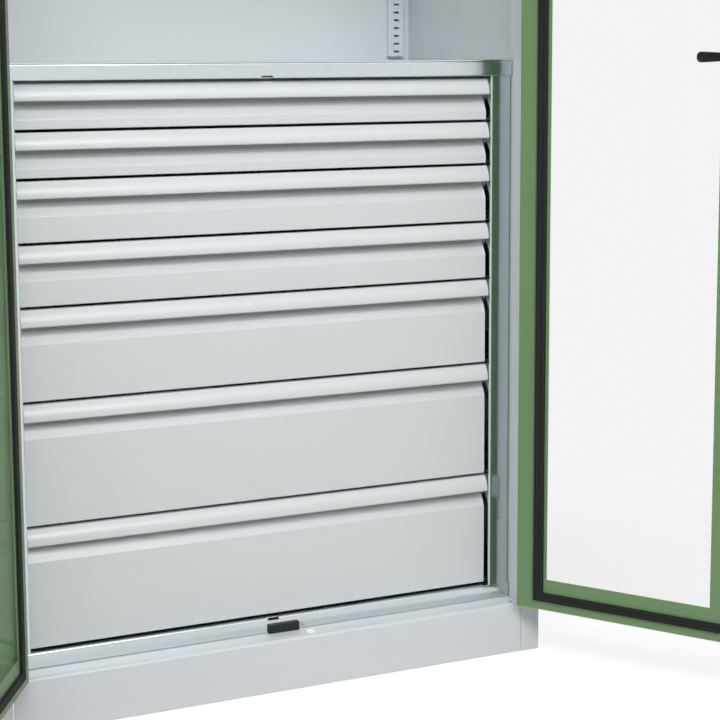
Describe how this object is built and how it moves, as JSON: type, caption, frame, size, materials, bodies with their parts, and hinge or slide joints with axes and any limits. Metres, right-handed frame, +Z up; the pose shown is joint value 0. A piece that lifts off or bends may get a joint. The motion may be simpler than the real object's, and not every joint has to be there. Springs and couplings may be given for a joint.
{
  "type": "tool cabinet with drawers",
  "caption": "Free-standing steel tool cabinet: hinged window doors, shelved upper compartment and a block of full-width drawers with rolled handles.",
  "frame": {"origin": "on the floor, on the cabinet's centre line, under the middle of the plinth's floor flange", "axes": "+X to the right seen from the front, +Y into the cabinet towards its back, +Z up"},
  "size_m": [1.4014, 0.9134, 1.95],
  "materials": {
    "painted_shell": "light grey powder coat, fine smooth texture",
    "painted_front": "light grey powder coat, smooth",
    "bright_zinc": "bright galvanised sheet, mirror-like",
    "runner_steel": "zinc-plated runner steel",
    "green_frame": "green powder coat",
    "clear_pane": "clear acrylic sheet",
    "black_rubber": "black extruded rubber",
    "black_plastic": "black moulded plastic",
    "white_nylon": "white moulded nylon",
    "hinge_steel": "zinc-plated steel",
    "cylinder_brass": "nickel-plated brass"
  },
  "bodies": {
    "cabinet": {"right_side_panel": "painted_shell", "left_side_panel": "painted_shell", "back_panel": "painted_shell", "top_panel": "painted_shell", "base_pan": "painted_shell", "rod_bushes": "white_nylon", "door_catch": "black_plastic", "bottom_crossbar": "bright_zinc", "top_crossbar": "bright_zinc", "right_block_side": "bright_zinc", "left_block_side": "bright_zinc", "block_back": "bright_zinc", "block_cover": "bright_zinc", "back_uprights": "painted_shell", "side_uprights": "painted_shell", "lower_shelf": "painted_shell", "upper_shelf": "painted_shell", "shelf_clips": "hinge_steel", "right_hinge_frame_leaves": "hinge_steel", "left_hinge_frame_leaves": "hinge_steel", "right_fixed_runners": "runner_steel", "left_fixed_runners": "runner_steel"},
    "drawer_1": {"drawer_1_front": "painted_front", "drawer_1_tray": "painted_front"},
    "drawer_1_middle": {"drawer_1_middle_runners": "runner_steel"},
    "drawer_2": {"drawer_2_front": "painted_front", "drawer_2_tray": "painted_front"},
    "drawer_2_middle": {"drawer_2_middle_runners": "runner_steel"},
    "drawer_3": {"drawer_3_front": "painted_front", "drawer_3_tray": "painted_front"},
    "drawer_3_middle": {"drawer_3_middle_runners": "runner_steel"},
    "drawer_4": {"drawer_4_front": "painted_front", "drawer_4_tray": "painted_front"},
    "drawer_4_middle": {"drawer_4_middle_runners": "runner_steel"},
    "drawer_5": {"drawer_5_front": "painted_front", "drawer_5_tray": "painted_front"},
    "drawer_5_middle": {"drawer_5_middle_runners": "runner_steel"},
    "drawer_6": {"drawer_6_front": "painted_front", "drawer_6_tray": "painted_front"},
    "drawer_6_middle": {"drawer_6_middle_runners": "runner_steel"},
    "drawer_7": {"drawer_7_front": "painted_front", "drawer_7_tray": "painted_front"},
    "drawer_7_middle": {"drawer_7_middle_runners": "runner_steel"},
    "right_door": {"right_door_frame": "green_frame", "right_door_liner": "green_frame", "right_door_pane": "clear_pane", "right_door_seal": "black_rubber", "right_hinge_door_leaves": "hinge_steel", "lock_case": "hinge_steel", "rod_guides": "white_nylon", "handle_rose": "black_plastic"},
    "left_door": {"left_door_frame": "green_frame", "left_door_liner": "green_frame", "left_door_pane": "clear_pane", "left_door_seal": "black_rubber", "left_hinge_door_leaves": "hinge_steel"},
    "handle": {"door_handle": "black_plastic"},
    "key_cylinder": {"lock_cylinder": "cylinder_brass"},
    "upper_rod": {"upper_lock_rod": "hinge_steel"},
    "lower_rod": {"lower_lock_rod": "hinge_steel"}
  },
  "joints": [
    {"name": "drawer_1_slide", "type": "slide", "parent": "cabinet", "child": "drawer_1", "axis": [0, -1, 0], "range_m": [0, 0.39]},
    {"name": "drawer_1_middle_slide", "type": "slide", "parent": "cabinet", "child": "drawer_1_middle", "axis": [0, -1, 0], "range_m": [0, 0.195]},
    {"name": "drawer_2_slide", "type": "slide", "parent": "cabinet", "child": "drawer_2", "axis": [0, -1, 0], "range_m": [0, 0.39]},
    {"name": "drawer_2_middle_slide", "type": "slide", "parent": "cabinet", "child": "drawer_2_middle", "axis": [0, -1, 0], "range_m": [0, 0.195]},
    {"name": "drawer_3_slide", "type": "slide", "parent": "cabinet", "child": "drawer_3", "axis": [0, -1, 0], "range_m": [0, 0.39]},
    {"name": "drawer_3_middle_slide", "type": "slide", "parent": "cabinet", "child": "drawer_3_middle", "axis": [0, -1, 0], "range_m": [0, 0.195]},
    {"name": "drawer_4_slide", "type": "slide", "parent": "cabinet", "child": "drawer_4", "axis": [0, -1, 0], "range_m": [0, 0.39]},
    {"name": "drawer_4_middle_slide", "type": "slide", "parent": "cabinet", "child": "drawer_4_middle", "axis": [0, -1, 0], "range_m": [0, 0.195]},
    {"name": "drawer_5_slide", "type": "slide", "parent": "cabinet", "child": "drawer_5", "axis": [0, -1, 0], "range_m": [0, 0.39]},
    {"name": "drawer_5_middle_slide", "type": "slide", "parent": "cabinet", "child": "drawer_5_middle", "axis": [0, -1, 0], "range_m": [0, 0.195]},
    {"name": "drawer_6_slide", "type": "slide", "parent": "cabinet", "child": "drawer_6", "axis": [0, -1, 0], "range_m": [0, 0.39]},
    {"name": "drawer_6_middle_slide", "type": "slide", "parent": "cabinet", "child": "drawer_6_middle", "axis": [0, -1, 0], "range_m": [0, 0.195]},
    {"name": "drawer_7_slide", "type": "slide", "parent": "cabinet", "child": "drawer_7", "axis": [0, -1, 0], "range_m": [0, 0.39]},
    {"name": "drawer_7_middle_slide", "type": "slide", "parent": "cabinet", "child": "drawer_7_middle", "axis": [0, -1, 0], "range_m": [0, 0.195]},
    {"name": "right_door_swing", "type": "hinge", "parent": "cabinet", "child": "right_door", "pos_m": [0.465, -0.011, 1.17688], "axis": [0, 0, 1], "range_deg": [-120, 0]},
    {"name": "left_door_swing", "type": "hinge", "parent": "cabinet", "child": "left_door", "pos_m": [-0.465, -0.011, 1.17688], "axis": [0, 0, -1], "range_deg": [-120, 0]},
    {"name": "handle_turn", "type": "hinge", "parent": "right_door", "child": "handle", "pos_m": [0.67196, -0.36147, 1.05], "axis": [-0.866, -0.5, 0], "range_deg": [0, 90]},
    {"name": "key_turn", "type": "hinge", "parent": "right_door", "child": "key_cylinder", "pos_m": [0.67196, -0.36147, 1.008], "axis": [-0.866, -0.5, 0], "range_deg": [0, 90]},
    {"name": "upper_rod_slide", "type": "slide", "parent": "right_door", "child": "upper_rod", "axis": [0, 0, 1], "range_m": [0, 0.015]},
    {"name": "lower_rod_slide", "type": "slide", "parent": "right_door", "child": "lower_rod", "axis": [0, 0, -1], "range_m": [0, 0.015]}
  ],
  "couplings": [
    {"joint": "drawer_1_middle_slide", "follows": "drawer_1_slide", "ratio": 0.5},
    {"joint": "drawer_2_middle_slide", "follows": "drawer_2_slide", "ratio": 0.5},
    {"joint": "drawer_3_middle_slide", "follows": "drawer_3_slide", "ratio": 0.5},
    {"joint": "drawer_4_middle_slide", "follows": "drawer_4_slide", "ratio": 0.5},
    {"joint": "drawer_5_middle_slide", "follows": "drawer_5_slide", "ratio": 0.5},
    {"joint": "drawer_6_middle_slide", "follows": "drawer_6_slide", "ratio": 0.5},
    {"joint": "drawer_7_middle_slide", "follows": "drawer_7_slide", "ratio": 0.5},
    {"joint": "handle_turn", "follows": "upper_rod_slide", "rad_per_m": 104.72},
    {"joint": "lower_rod_slide", "follows": "upper_rod_slide", "ratio": 1}
  ]
}
